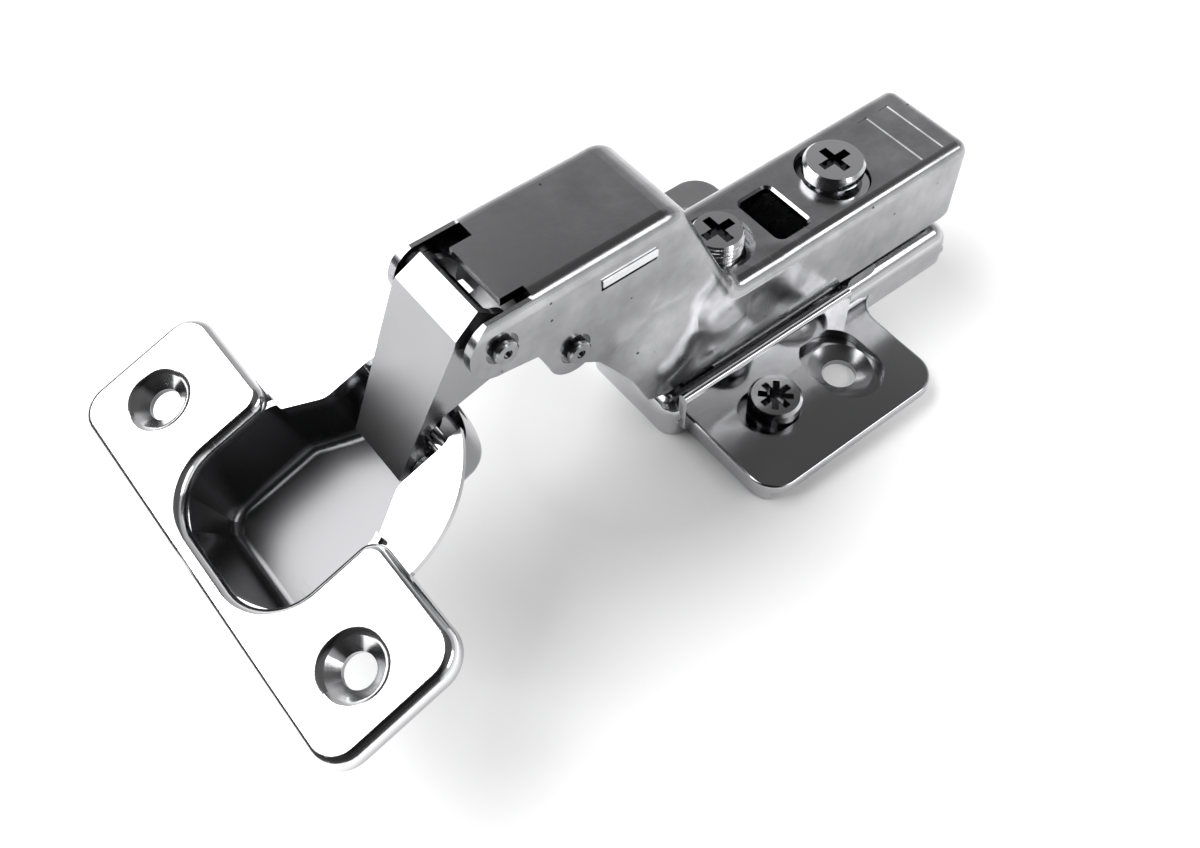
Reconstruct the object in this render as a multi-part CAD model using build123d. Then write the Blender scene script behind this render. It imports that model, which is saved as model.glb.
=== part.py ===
"""Clip-on concealed cup hinge, shown with its door fully open.

Frame: X runs from the mounting plate towards the cup, Y along the cabinet's
front edge, Z away from the cabinet side.  The origin lies on the cabinet side,
midway between the two mounting screws.  All sizes are in millimetres.
"""

from build123d import *
from math import atan2, cos, degrees, hypot, radians, sin, tan
import os

os.makedirs("parts", exist_ok=True)

# ---------------------------------------------------------------- clearances
RUN_GAP = 0.02        # a pin turning or pressed in its own hole
SIDE_GAP = 0.10       # flat faces that slide past each other
SEAT_GAP = 0.20       # a piece lying in its pocket
SWEEP_GAP = 0.40      # a moving piece passing a fixed one
THROUGH = 20.0        # reach of a cutter that goes right through

# ------------------------------------------------------- mounting interfaces
PLATE_HOLE_PITCH = 32.0
PLATE_SCREW_D = 5.0
CUP_BORE_D = 35.0
CUP_BORE_FIT = 0.05           # drum's clearance in its bore, on the radius
FLANGE_HOLE_PITCH = 45.0
FLANGE_HOLE_SETBACK = 9.5     # screw line to cup centre
FLANGE_SCREW_D = 4.2
OPEN_TILT = 18.5              # how far the open cup leans forward, degrees

# --------------------------------------------------------------- base strip
STRIP_T = 1.9
STRIP_LENGTH = 46.0
STRIP_REAR_X = -6.5
STRIP_FRONT_X = 18.5
STRIP_CORNER_R = 3.0
SCREW_DISH_D = 9.4
SCREW_DISH_DEPTH = 1.3

# ----------------------------------------------------------- mounting plate
PLATE_T = 1.4
WING_TOP_Z = STRIP_T + SIDE_GAP + PLATE_T
WING_SPAN = 53.4
WING_REAR_X = -9.8
WING_FRONT_X = 23.5
WING_CORNER_R = 4.5
WING_LIP_DROP = 1.6
WING_EDGE_R = 0.45
TABLE_TOP_Z = 6.6
TABLE_HALF_W = 9.3
TABLE_REAR_X = -30.0
TABLE_FRONT_X = 26.5
TABLE_EDGE_R = 1.5
TABLE_END_R = 2.6
WING_ROOT_R = 4.0
SCREW_SLOT_W = 9.9
SCREW_SLOT_L = 13.2
RAIL_FOLD_T = 0.75
RAIL_TOP_Z = 8.9
RAIL_REAR_X = -6.8
RAIL_FRONT_X = 24.6
HEIGHT_TRAVEL = 1.5

# ---------------------------------------------------------- height cam screw
CAM_PIVOT_X = 14.5
CAM_PIVOT_Y = 15.5
CAM_THROW = 1.8
CAM_BODY_D = 7.6
CAM_TOP_D = 6.8
CAM_TOP_Z = 5.8
CAM_PIVOT_D = 5.0
CAM_SLOT_PLAY = 0.2
CAM_SLOT_AHEAD = 1.6   # room for the body as it turns
CAM_RECESS_D = 5.0
CAM_RECESS_DEPTH = 2.0

# --------------------------------------------------------------------- arm
SHEET = 1.2
ARM_HALF_W = 8.2
ARM_TOP_Z = 22.8
ARM_REAR_X = -30.0
ARM_BOTTOM_Z = 9.3
ARM_WAIST_Z = 10.3
ARM_REAR_CORNER_R = 3.5
CRANK_FOOT_X = 15.0
BOX_TOP_Z = 43.6
BOX_REAR_X = 24.9
BOX_FRONT_X = 46.4
CRANK_FOOT_R = 2.4
CRANK_TOP_R = 4.0
ARM_BEND_R = 2.0
EAR_R = 4.3
HEEL_R = 3.9
TONGUE_HALF_W = 4.8
TONGUE_Y = 0.9
TONGUE_LENGTH = 3.1
EAR_TOP_DROP = 0.6       # ears' cut top edges, below the roof
REAR_WINDOW_HALF_W = 5.3
REAR_WINDOW_TOP_Z = 17.5
MARK_X = (-25.0, -20.8)  # two plain stamped bars on the roof
MARK_Y = 0.5
MARK_L = 11.2
MARK_W = 1.8
MARK_DEPTH = 0.15
SKIRT_TIP = (30.2, 12.2)
SKIRT_TIP_R = 1.5
SKIRT_WAIST = (33.3, 19.2)
SKIRT_SHOULDER = (38.0, 26.0)
FLARE_X = 28.5
FLARE_Z = 18.5
FLARE_REACH = 10.5
FLARE_OUT = 1.7
SPRING_SLOT_X = BOX_FRONT_X - 13.0
SPRING_SLOT_Z = BOX_TOP_Z - 4.2
SPRING_SLOT_L = 8.2
SPRING_SLOT_H = 1.9
WINDOW_X = 1.75
WINDOW_L = 5.6
WINDOW_W = 8.8
WINDOW_Y = 0.6
WINDOW_CORNER_R = 1.0
WINDOW_EDGE = 0.35

RAIL_PLAY = 0.5
RAIL_INNER_Y = ARM_HALF_W + RAIL_PLAY

# ------------------------------------------------------------- arm screws
SIDE_SCREW_X = 11.5
SIDE_SCREW_D = 7.3
SCREW_TOP_Z = 25.2
SIDE_SCREW_NECK_D = 3.6
SIDE_SCREW_FOOT_D = 5.6
SIDE_SCREW_FOOT_T = 1.0
COLLAR_WALL = 1.2
COLLAR_DEPTH = 4.2
COLLAR_FUNNEL = 1.5
DEPTH_CAM_X = -9.9
DEPTH_CAM_HEAD_D = 8.8
DEPTH_CAM_HEAD_T = 1.9
DEPTH_CAM_NECK_D = 5.6
DEPTH_CAM_DISC_DROP = 0.5   # its top, below the arm's roof
DEPTH_CAM_THROW = 1.5
DEPTH_CAM_DISC_D = 8.4
DEPTH_CAM_STEM_D = 4.6
DEPTH_CAM_PLAY = 0.2
DEPTH_TRAVEL = 1.25
CROSS_SLOT_L = 5.0
CROSS_SLOT_W = 1.3
CROSS_SLOT_DEPTH = 1.6

# ------------------------------------------------------------ clip adapter
ADAPTER_T = 1.2
ADAPTER_PLAY = 0.3             # beside it, inside the arm
ADAPTER_HALF_W = ARM_HALF_W - SHEET - ADAPTER_PLAY
ADAPTER_TOP_Z = 20.6
ADAPTER_REAR_X = -27.0
ADAPTER_WEB_FRONT_X = -4.0
ADAPTER_FRONT_X = 22.0
BRIDGE_Z = 14.4
BRIDGE_REAR_X = 6.0
BRIDGE_FRONT_X = 17.5
HOOK_X = 17.0
HOOK_L = 3.6
HOOK_TOE = 1.6
HOOK_DROP = 3.0
FOOT_X = -10.8
FOOT_L = 5.6

# ----------------------------------------------------------- release lever
LEVER_PIN_X = -22.5
LEVER_PIN_Z = 12.0
LEVER_PIN_D = 2.4
LEVER_PLAY = 0.9
LEVER_HALF_W = ADAPTER_HALF_W - ADAPTER_T - LEVER_PLAY
LEVER_T = 1.2
LEVER_EYE_R = 2.3
LEVER_TAB_X = -28.2
LEVER_HOOK_X = -19.0
LEVER_HOOK_TOE = 1.6
LEVER_SPRING_T = 0.5
LEVER_SPRING_HALF_W = 2.4
LEVER_SPRING_LEAF = 5.0
LEVER_SPRING_SETBACK = 4.5
LEVER_SPRING_TIP = (3.2, 0.6)    # ahead of the lever's tab, below its pin
RELEASE_ANGLE = 12.0

# ----------------------------------------------------------------- linkage
DOOR_SWING = 121.6               # turn of the cup on the outer link, degrees
FRONT_PIVOT_AHEAD = 4.9          # of the roof's front edge
FRONT_PIVOT_DROP = 4.7           # below the roof
RIVET_STEP = (9.9, 7.7)          # from the front rivet back and down to the rear one
CUP_REACH = 31.05                # from the front rivet ahead to the flange's screws
CUP_DROP = 15.6                  # and down to them
FRONT_PIVOT = (BOX_FRONT_X + FRONT_PIVOT_AHEAD, BOX_TOP_Z - FRONT_PIVOT_DROP)
REAR_PIVOT = (FRONT_PIVOT[0] - RIVET_STEP[0], FRONT_PIVOT[1] - RIVET_STEP[1])
CUP_PIVOT_OUT = (-9.59, 8.01)    # outer link's pin: ahead of, below the cup centre
CUP_PIVOT_IN = (-12.61, 4.67)    # inner link's pin: ahead of, below the cup centre
RIVET_D = 3.2
RIVET_PROUD = 1.1
RIVET_RECESS_D = 4.4
RIVET_RECESS_DEPTH = 0.7
RIVET_DIMPLE_D = 1.2
CUP_PIN_D = 2.3
LINK_SHEET = 1.0
OUTER_LINK_TOP = (1.0, 4.5)      # X and Z from the front rivet
OUTER_LINK_FOLD = (4.4, 2.3)
OUTER_LINK_END = (14.2, -17.6)
OUTER_LINK_TIP = 0.4             # the face's end, up from that point
WASHER_T = 0.8
CUP_SLEEVE_L = 3.2
OUTER_LINK_NECK = 7.5
LINK_OVER_DOOR = 0.5             # open links pass this far above the door's face
OUTER_LINK_EYE_R = 3.0
INNER_LINK_PLAY = 0.5
INNER_LINK_WEB_T = 1.2
INNER_LINK_EYE_R = 2.2
INNER_LINK_SLOT = 2.6            # play of the open pivot along the link
INNER_LINK_SLOT_PLAY = 0.65      # and across it
INNER_LINK_SLOT_WALL = 0.9
INNER_LINK_ARCH = ((3.6, 5.0), (10.6, 3.4), (15.8, 0.0))    # from the rear rivet
SLEEVE_WALL = 0.9

# ----------------------------------------------------------- closing spring
SEAT_T = 1.0
SEAT_EAR = 0.3
SPRING_T = 0.8
SPRING_MARGIN = 2.0              # beside it, inside the arm
SPRING_HALF_W = ARM_HALF_W - SHEET - SPRING_MARGIN
SPRING_REAR_X = SPRING_SLOT_X - 4.0
SPRING_NOSE = (2.0, 4.8)         # from the rear rivet
SPRING_LEAF_RISE = 1.2

# --------------------------------------------------------------------- cup
CUP_SHEET = 0.8
CUP_DEPTH = 12.9
FLANGE_T = 1.1
FLANGE_RIM = 2.4
FLANGE_LAND = 3.85               # outside the countersinks
FLANGE_FRONT = 18.8
FLANGE_REAR = -1.1
FLANGE_CORNER_R = 4.2
FLANGE_EDGE_R = 1.5
WING_TIP_R = 2.6
TUB_FRONT = 15.7
TUB_HALF_W = 11.7
TUB_WIDE_REAR = -0.2
TUB_NECK_FRONT = -6.0
TUB_REAR_R = 16.5
TUB_NECK_HALF_W = 8.0
TUB_DRAFT = 7.0
TUB_FRONT_R = 7.5
TUB_CORNER_R = 3.0
TUB_FLOOR_R = 1.4
DRUM_LEDGE = FLANGE_RIM + SIDE_GAP
DRUM_LEDGE_T = 1.0
LEDGE_LIP = ((-0.25, 1.2), (0.25, 0.35), (1.05, -0.15))    # out from the wall, down
NOTCH_FRONT = -13.9
NOTCH_HALF_W = 7.6
NOTCH_DEPTH = 5.4
NECK_NOTCH_HALF_W = 3.9
NECK_NOTCH_DEPTH = 8.6
COUNTERSINK_D = 8.3
COUNTERSINK_DEPTH = 1.7
COUNTERSINK_LIP_R = 2.0
SCREW_COLLAR_L = 0.7
FLANGE_SPAN = FLANGE_HOLE_PITCH + COUNTERSINK_D + 2 * FLANGE_LAND

# ------------------------------------------------------------ derived frame
tilt = radians(OPEN_TILT)
FLANGE_HOLE_X = FRONT_PIVOT[0] + CUP_REACH
FLANGE_HOLE_Z = FRONT_PIVOT[1] - CUP_DROP
CUP_CENTRE_X = FLANGE_HOLE_X - FLANGE_HOLE_SETBACK * cos(tilt)
CUP_CENTRE_Z = FLANGE_HOLE_Z + FLANGE_HOLE_SETBACK * sin(tilt)
CUP_PLANE = Plane(
    origin=(CUP_CENTRE_X, 0, CUP_CENTRE_Z),
    x_dir=(cos(tilt), 0, -sin(tilt)),
    z_dir=(sin(tilt), 0, cos(tilt)),
)


LINK_UPPER_HALF_W = ARM_HALF_W - SHEET - WASHER_T
LINK_LOWER_HALF_W = TUB_NECK_HALF_W - CUP_SLEEVE_L
INNER_LINK_HALF_W = LINK_LOWER_HALF_W - LINK_SHEET - INNER_LINK_PLAY
DOOR_FACE = FLANGE_RIM - LINK_OVER_DOOR
LINK_OVER_BORE = SWEEP_GAP - CUP_BORE_D / 2
LINK_PAST_DOOR = -22.3


def beyond(point, step):
    """The X-Z point that lies a step away from another."""
    return point[0] + step[0], point[1] + step[1]


LINK_TOP = beyond(FRONT_PIVOT, OUTER_LINK_TOP)
LINK_FOLD = beyond(FRONT_PIVOT, OUTER_LINK_FOLD)
LINK_END = beyond(FRONT_PIVOT, OUTER_LINK_END)


def from_cup(ahead, depth):
    """X and Z of a point given ahead of the cup centre and below its flange."""
    x = CUP_CENTRE_X + ahead * cos(tilt) - depth * sin(tilt)
    z = CUP_CENTRE_Z - ahead * sin(tilt) - depth * cos(tilt)
    return x, z


def side_profile(sketch, half_width):
    """A sketch in the X-Z plane, thickened to both sides of the centre plane."""
    return extrude(Plane.XZ * sketch, amount=half_width, both=True)


def polygon(*points):
    """A closed sketch through the points, in their own order."""
    return make_face(Polyline(*points, close=True))


def disc_at(point, radius):
    return Pos(*point) * Circle(radius)


def cross_bar(point, radius, half_width):
    """A round bar across the hinge at an X-Z point."""
    return side_profile(disc_at(point, radius), half_width)


def mirrored(solid):
    """The solid and its mirror image across the centre plane."""
    return solid + mirror(solid, about=Plane.XZ)


def post(x, y, bottom, top, diameter):
    """An upright cylinder between two heights."""
    return Pos(x, y, (bottom + top) / 2) * Cylinder(diameter / 2, top - bottom)


def upright(sketch, bottom, top):
    """A plan sketch raised between two heights."""
    return Pos(0, 0, bottom) * extrude(sketch, amount=top - bottom)


def save(solid, name):
    solid.label = name
    export_step(solid, f"parts/{name}.step")


# ------------------------------------------------------------ plate and strip
def screw_points():
    half = PLATE_HOLE_PITCH / 2
    return [(0, -half), (0, half)]


def make_base_strip():
    """Flat strip screwed to the cabinet, with a dished seat for each screw."""
    length_x = STRIP_FRONT_X - STRIP_REAR_X
    middle_x = (STRIP_FRONT_X + STRIP_REAR_X) / 2
    outline = Pos(middle_x, 0) * RectangleRounded(length_x, STRIP_LENGTH, STRIP_CORNER_R)
    strip = upright(outline, 0, STRIP_T)
    for x, y in screw_points():
        bowl_r = (SCREW_DISH_D**2 / 4 + SCREW_DISH_DEPTH**2) / (2 * SCREW_DISH_DEPTH)
        strip -= Pos(x, y, STRIP_T - SCREW_DISH_DEPTH + bowl_r) * Sphere(bowl_r)
        strip -= post(x, y, -1, STRIP_T, PLATE_SCREW_D)
    strip -= post(CAM_PIVOT_X, CAM_PIVOT_Y, -1, STRIP_T + 1, CAM_PIVOT_D + 2 * RUN_GAP)
    return strip


def plate_blank(inset, top):
    """The plate's drawn outer form, or its inside when given an inset."""
    table_l = TABLE_FRONT_X - TABLE_REAR_X - 2 * inset
    table_x = (TABLE_FRONT_X + TABLE_REAR_X) / 2
    table_w = 2 * (TABLE_HALF_W - inset)
    table_plan = Pos(table_x, 0) * RectangleRounded(table_l, table_w, TABLE_END_R - inset)
    table = upright(table_plan, 0, top)
    crown = table.faces().sort_by(Axis.Z)[-1].edges()
    return fillet(crown, TABLE_EDGE_R + PLATE_T - inset)


def make_rail(side):
    """One upturned, folded-over edge beside the arm: two layers of sheet."""
    length = RAIL_FRONT_X - RAIL_REAR_X
    middle = (RAIL_FRONT_X + RAIL_REAR_X) / 2
    fold_r = RAIL_FOLD_T
    inner = RAIL_INNER_Y
    outer = inner + 2 * fold_r
    height = RAIL_TOP_Z - WING_TOP_Z
    rail = Pos(middle, (inner + outer) / 2, WING_TOP_Z + height / 2 - PLATE_T / 2)
    bar = rail * Box(length, outer - inner, height + PLATE_T)
    crown = bar.edges().filter_by(Axis.X).group_by(Axis.Z)[-1]
    bar = fillet(crown, fold_r * 0.9)
    return bar if side > 0 else mirror(bar, about=Plane.XZ)


def cam_slot(bottom, top):
    """The cross slot in the wing that the height cam's body works in."""
    width = CAM_BODY_D + 2 * CAM_SLOT_PLAY
    length = width + CAM_SLOT_AHEAD
    middle = CAM_PIVOT_X - CAM_THROW + CAM_SLOT_AHEAD / 2
    slot = Pos(middle, CAM_PIVOT_Y) * SlotOverall(length, width)
    return upright(slot, bottom, top)


def make_mounting_plate():
    """Pressed plate: central table, two wings, side rails and clip openings."""
    wing_l = WING_FRONT_X - WING_REAR_X
    wing_x = (WING_FRONT_X + WING_REAR_X) / 2
    wing_plan = Pos(wing_x, 0) * RectangleRounded(wing_l, WING_SPAN, WING_CORNER_R)
    table_l = TABLE_FRONT_X - TABLE_REAR_X - 2 * PLATE_T
    table_x = (TABLE_FRONT_X + TABLE_REAR_X) / 2
    wing_plan += Pos(table_x, 0) * Rectangle(table_l, 2 * TABLE_HALF_W)
    rear_corners = [v for v in wing_plan.vertices() if abs(v.X - WING_REAR_X) < 0.01]
    wing_plan = fillet([v for v in rear_corners if abs(v.Y) < TABLE_HALF_W + 0.01], WING_ROOT_R)
    wing_bottom = WING_TOP_Z - PLATE_T
    wings = upright(wing_plan, wing_bottom, WING_TOP_Z)
    wings = fillet(wings.faces().sort_by(Axis.Z)[-1].edges(), WING_EDGE_R)
    lip = upright(wing_plan, wing_bottom - WING_LIP_DROP, WING_TOP_Z)
    lip &= Pos(WING_FRONT_X - PLATE_T / 2, 0, wing_bottom - PLATE_T) * Box(PLATE_T, WING_SPAN, 2 * PLATE_T)
    table = plate_blank(0, TABLE_TOP_Z)
    plate = wings + lip + table
    for side in (-1, 1):
        plate += make_rail(side)
    plate -= plate_blank(PLATE_T, TABLE_TOP_Z - PLATE_T)
    # the strip passes below the wings, so nothing hangs below them there
    tunnel = STRIP_FRONT_X - STRIP_REAR_X + 2 * SEAT_GAP
    tunnel_x = (STRIP_FRONT_X + STRIP_REAR_X) / 2
    span = STRIP_LENGTH + 2 * HEIGHT_TRAVEL + 2 * SEAT_GAP
    plate -= Pos(tunnel_x, 0, wing_bottom - 2) * Box(tunnel, span, 4)
    for x, y in screw_points():
        slot = Pos(x, y) * SlotOverall(SCREW_SLOT_L, SCREW_SLOT_W, rotation=90)
        plate -= upright(slot, wing_bottom - 1, WING_TOP_Z + 0.01)
    plate -= cam_slot(wing_bottom - 1, TABLE_TOP_Z)
    return plate - clip_openings()


def clip_openings():
    """Openings in the table's top for the adapter's hooks and the lever."""
    wall_y = ADAPTER_HALF_W - ADAPTER_T / 2
    hook_l = HOOK_L + HOOK_TOE + 4 * SEAT_GAP
    hook_x = HOOK_X + hook_l / 2 - 2 * SEAT_GAP
    hook_box = Box(hook_l, ADAPTER_T + 2 * SEAT_GAP, 4 * PLATE_T)
    openings = mirrored(Pos(hook_x, wall_y, TABLE_TOP_Z) * hook_box)
    swing = (LEVER_PIN_Z - TABLE_TOP_Z + 2 * PLATE_T) * sin(radians(RELEASE_ANGLE))
    rear = LEVER_HOOK_X - LEVER_T - swing - SWEEP_GAP
    front = LEVER_HOOK_X + LEVER_HOOK_TOE / 2
    lever_box = Box(front - rear, 2 * (LEVER_HALF_W + SEAT_GAP), 4 * PLATE_T)
    return openings + Pos((front + rear) / 2, 0, TABLE_TOP_Z) * lever_box


def make_height_cam():
    """Eccentric screw that shifts the plate on the strip."""
    body_x = CAM_PIVOT_X - CAM_THROW
    bottom = STRIP_T + SIDE_GAP
    chamfer_h = (CAM_BODY_D - CAM_TOP_D) / 2
    body = post(body_x, CAM_PIVOT_Y, bottom, CAM_TOP_Z, CAM_BODY_D)
    rim = body.faces().sort_by(Axis.Z)[-1].edges()
    body = chamfer(rim, chamfer_h)
    body += post(CAM_PIVOT_X, CAM_PIVOT_Y, SIDE_GAP, bottom, CAM_PIVOT_D)
    top = Pos(body_x, CAM_PIVOT_Y, CAM_TOP_Z - CAM_RECESS_DEPTH / 2)
    for angle in (0, 45, 90, 135):
        body -= top * Rot(0, 0, angle) * Box(CAM_RECESS_D, CAM_RECESS_D / 5, CAM_RECESS_DEPTH)
    return body


# --------------------------------------------------------------------- arm
def crank_shift(inset):
    """How far the crank's sloping line moves along X when inset by the sheet."""
    rise = BOX_TOP_Z - ARM_TOP_Z
    run = BOX_REAR_X - CRANK_FOOT_X
    return inset * (hypot(rise, run) - run) / rise


def drawn_body(inset, rear, front, bottom):
    """The arm's closed drawn form, with its bends rounded along the top."""
    half_w = ARM_HALF_W - inset
    bend = ARM_BEND_R - 0.7 * inset
    low_z = ARM_TOP_Z - inset
    high_z = BOX_TOP_Z - inset
    foot_x = CRANK_FOOT_X + crank_shift(inset)
    crest_x = BOX_REAR_X + crank_shift(inset)
    sketch = polygon(
        (rear, low_z), (foot_x, low_z), (crest_x, high_z), (front, high_z), (front, bottom), (rear, bottom)
    )
    corners = sketch.vertices().sort_by(Axis.X)
    foot = [v for v in corners if abs(v.X - foot_x) < 0.01]
    sketch = fillet(foot, CRANK_FOOT_R + inset)
    crest = [v for v in sketch.vertices() if abs(v.X - crest_x) < 0.01]
    sketch = fillet(crest, CRANK_TOP_R - inset)
    body = side_profile(sketch, half_w)
    long_bends = [e for e in body.edges() if is_long_bend(e, half_w, low_z)]
    rear_face = body.faces().sort_by(Axis.X)[0]
    rear_bends = [e for e in rear_face.edges() if e.center().Z > bottom + 0.01]
    return fillet(long_bends + rear_bends, bend)


def is_long_bend(edge, half_w, low_z):
    centre = edge.center()
    return abs(abs(centre.Y) - half_w) < 0.01 and centre.Z > low_z - 0.5


def arm_side_sketch():
    """The arm's side walls: channel, waist, skirt, heel lobe and front ear."""
    fx, fz = FRONT_PIVOT
    rx, rz = REAR_PIVOT
    far = BOX_TOP_Z + 2
    walls = polygon(
        (ARM_REAR_X - 1, far),
        (fx, far),
        (fx, fz - EAR_R),
        (rx + HEEL_R + 1.4, fz - EAR_R - 0.8),
        (rx + HEEL_R * 0.75, rz - HEEL_R * 0.66),
        (rx - HEEL_R * 0.35, rz - HEEL_R * 0.94),
        SKIRT_SHOULDER,
        SKIRT_WAIST,
        SKIRT_TIP,
        (SKIRT_TIP[0] - 3.5, ARM_WAIST_Z),
        (0, ARM_WAIST_Z),
        (FOOT_X + 2, ARM_BOTTOM_Z),
        (ARM_REAR_X - 1, ARM_BOTTOM_Z),
    )
    lower_rear = [v for v in walls.vertices() if v.X < ARM_REAR_X and v.Y < BOX_TOP_Z]
    walls = fillet(lower_rear, ARM_REAR_CORNER_R + 1)
    skirt_tip = [v for v in walls.vertices() if abs(v.X - SKIRT_TIP[0]) < 0.01]
    walls = fillet(skirt_tip, SKIRT_TIP_R)
    ear = disc_at(FRONT_PIVOT, EAR_R)
    ear_top = polygon((fx - 6, far), (fx, far), (fx, fz), (fx - 6, fz))
    return walls + ear + disc_at(REAR_PIVOT, HEEL_R) + ear_top


def flare(inset):
    """The soft swell of each skirt, the same form inside when given an inset."""
    wall = ARM_HALF_W - inset
    top, rim = (0, wall + FLARE_OUT), (FLARE_REACH, wall)
    outline = Spline(top, rim, tangents=((1, 0), (1, 0)))
    outline += Polyline(rim, (FLARE_REACH, wall - SHEET), (0, wall - SHEET), top)
    section = make_face(outline)
    middle = Axis((FLARE_X, 0, FLARE_Z), (0, 1, 0))
    return mirrored(revolve(Pos(FLARE_X, 0, FLARE_Z) * section, axis=middle))


def make_arm():
    """The deep-drawn cranked arm, one piece of sheet."""
    front = FRONT_PIVOT[0] + EAR_R
    walls = side_profile(arm_side_sketch(), ARM_HALF_W + FLARE_OUT)
    arm = drawn_body(0, ARM_REAR_X, front + 1, 0) & walls
    arm += flare(0) & walls
    arm -= drawn_body(SHEET, ARM_REAR_X + SHEET, front + 2, -1)
    arm -= flare(SHEET)
    arm -= mouth_cut(front)
    arm += tongue()
    arm += set_screw_collar()
    return arm - arm_openings()


def mouth_cut(front):
    """Clears the roof ahead of the box, between the ears."""
    length = front + 1 - BOX_FRONT_X
    height = 4 * ARM_BEND_R
    roof = Pos(BOX_FRONT_X + length / 2, 0, BOX_TOP_Z) * Box(length, 2 * ARM_HALF_W - 2 * SHEET, height)
    ear_tops = Pos(BOX_FRONT_X + length / 2, 0, BOX_TOP_Z - EAR_TOP_DROP + height / 2) * Box(
        length, 2 * ARM_HALF_W + 1, height
    )
    return roof + ear_tops


def tongue():
    """Middle of the roof's front edge, running out between the ears."""
    start = BOX_FRONT_X - 1
    length = TONGUE_LENGTH + 1
    place = Pos(start + length / 2, TONGUE_Y, BOX_TOP_Z - SHEET / 2)
    return place * Box(length, 2 * TONGUE_HALF_W, SHEET)


def set_screw_collar():
    """Collar drawn down from the roof, where the side screw is tapped in."""
    outer_d = SIDE_SCREW_D + 2 * COLLAR_WALL
    bottom = ARM_TOP_Z - COLLAR_DEPTH
    return post(SIDE_SCREW_X, 0, bottom, ARM_TOP_Z - SHEET / 2, outer_d)


def arm_openings():
    """Holes through the roof and the side walls."""
    bore_d = SIDE_SCREW_D + 2 * RUN_GAP
    cuts = post(SIDE_SCREW_X, 0, 0, ARM_TOP_Z + 1, bore_d)
    funnel = Cone(bore_d / 2, bore_d / 2 + COLLAR_FUNNEL, COLLAR_FUNNEL)
    cuts += Pos(SIDE_SCREW_X, 0, ARM_TOP_Z - COLLAR_FUNNEL / 2) * funnel
    window = Pos(WINDOW_X, WINDOW_Y) * RectangleRounded(WINDOW_L, WINDOW_W, WINDOW_CORNER_R)
    cuts += upright(window, ARM_TOP_Z - 2 * SHEET, ARM_TOP_Z + 1)
    rim = Pos(0, 0, ARM_TOP_Z - WINDOW_EDGE) * window
    cuts += loft([rim, Pos(0, 0, ARM_TOP_Z) * offset(window, WINDOW_EDGE)])
    cuts += depth_cam_hole()
    rear_window = Box(4 * SHEET, 2 * REAR_WINDOW_HALF_W, 2 * REAR_WINDOW_TOP_Z)
    cuts += Pos(ARM_REAR_X, 0, 0) * rear_window
    for x in MARK_X:
        cuts += Pos(x, MARK_Y, ARM_TOP_Z) * Box(MARK_W, MARK_L, 2 * MARK_DEPTH)
    slot = Pos(SPRING_SLOT_X, SPRING_SLOT_Z) * Rectangle(SPRING_SLOT_L, SPRING_SLOT_H)
    cuts += side_profile(slot, ARM_HALF_W + 1)
    for pivot in (FRONT_PIVOT, REAR_PIVOT):
        cuts += cross_bar(pivot, RIVET_D / 2 + RUN_GAP, ARM_HALF_W + 1)
        recess = cross_bar(pivot, RIVET_RECESS_D / 2, ARM_HALF_W + 1)
        cuts += recess - cross_bar(pivot, RIVET_RECESS_D, ARM_HALF_W - RIVET_RECESS_DEPTH)
    return cuts


def depth_cam_hole():
    """Cross slot in the roof that the depth cam's disc works in."""
    width = DEPTH_CAM_DISC_D + 2 * DEPTH_CAM_PLAY
    length = DEPTH_CAM_DISC_D + 2 * (DEPTH_CAM_THROW + DEPTH_CAM_PLAY)
    slot = Pos(DEPTH_CAM_X, 0) * SlotOverall(length, width, rotation=90)
    return upright(slot, ARM_TOP_Z - 2 * SHEET, ARM_TOP_Z + 1)


def cross_recess(x, y, top):
    """Cross slot for a screwdriver, cut into a screw's top face."""
    place = Pos(x, y, top - CROSS_SLOT_DEPTH / 2)
    bar = Box(CROSS_SLOT_L, CROSS_SLOT_W, CROSS_SLOT_DEPTH)
    return place * (bar + Rot(0, 0, 90) * bar)


def make_side_screw():
    """Headless screw tapped into the arm, with a necked foot in the adapter."""
    shank_bottom = BRIDGE_Z + SIDE_GAP
    foot_top = BRIDGE_Z - ADAPTER_T - SIDE_GAP
    screw = post(SIDE_SCREW_X, 0, shank_bottom, SCREW_TOP_Z, SIDE_SCREW_D)
    top_rim = screw.faces().sort_by(Axis.Z)[-1].edges()
    screw = chamfer(top_rim, 0.3)
    screw += post(SIDE_SCREW_X, 0, foot_top - SIDE_SCREW_FOOT_T, shank_bottom, SIDE_SCREW_NECK_D)
    screw += post(SIDE_SCREW_X, 0, foot_top - SIDE_SCREW_FOOT_T, foot_top, SIDE_SCREW_FOOT_D)
    return screw - cross_recess(SIDE_SCREW_X, 0, SCREW_TOP_Z)


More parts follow.
